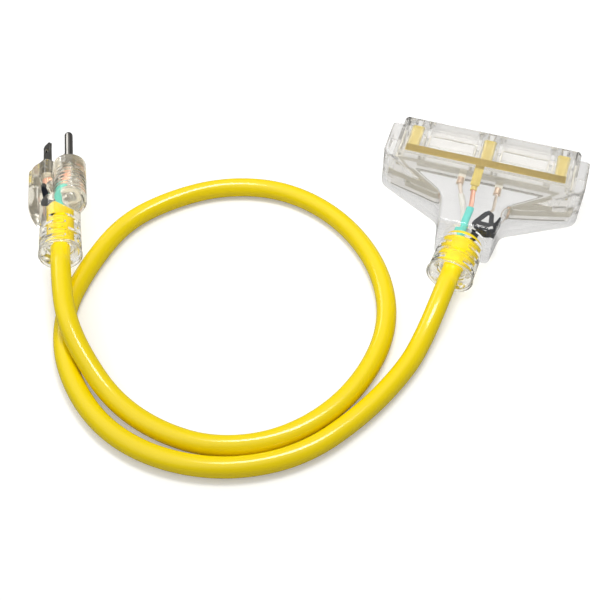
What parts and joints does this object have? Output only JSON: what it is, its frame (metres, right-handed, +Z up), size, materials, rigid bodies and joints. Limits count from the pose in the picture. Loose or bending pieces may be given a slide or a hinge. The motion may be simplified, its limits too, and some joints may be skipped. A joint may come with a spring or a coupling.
{
  "type": "three-outlet extension cord",
  "caption": "Short heavy-duty grounded extension cord: a clear flat multi-outlet head, a yellow round cord laid in a loop, and a clear plug with two blades and a ground pin.",
  "frame": {"origin": "on the floor, under the middle of the head and its strain relief", "axes": "+Y the way the outlets face, +Z up from the floor, +X along the row of outlets, to the right seen from behind the head"},
  "size_m": [0.3132, 0.2556, 0.0342],
  "materials": {
    "clear_moulding": "clear, smooth",
    "clear_core": "clear, slightly milky",
    "brass": "stamped, semi-bright",
    "copper_strands": "stranded, bright",
    "black_insulation": "satin",
    "white_insulation": "satin",
    "green_insulation": "satin",
    "yellow_jacket": "smooth, slightly soft sheen"
  },
  "bodies": {
    "root": {"head_overmould": "clear_moulding", "head_strain_relief": "clear_moulding", "receptacle_core": "clear_core", "core_cover": "clear_core", "ground_bus_bar": "brass", "hot_bus_bar": "brass", "neutral_bus_bar": "brass", "ground_contact_left": "brass", "ground_contact_centre": "brass", "ground_contact_right": "brass", "hot_contact_left": "brass", "hot_contact_centre": "brass", "hot_contact_right": "brass", "neutral_contact_left": "brass", "neutral_contact_centre": "brass", "neutral_contact_right": "brass", "head_crimp_barrels": "brass", "head_hot_wire": "black_insulation", "head_neutral_wire": "white_insulation", "head_ground_wire": "green_insulation", "head_hot_copper": "copper_strands", "head_neutral_copper": "copper_strands", "head_ground_copper": "copper_strands", "plug_hot_wire": "black_insulation", "plug_neutral_wire": "white_insulation", "plug_ground_wire": "green_insulation", "plug_hot_copper": "copper_strands", "plug_neutral_copper": "copper_strands", "plug_ground_copper": "copper_strands", "head_jacket_end": "yellow_jacket", "cord": "yellow_jacket", "plug_body": "clear_moulding", "plug_strain_relief": "clear_moulding", "hot_blade": "brass", "neutral_blade": "brass", "ground_pin": "brass", "plug_crimp_barrels": "brass", "plug_jacket_end": "yellow_jacket"}
  },
  "joints": []
}
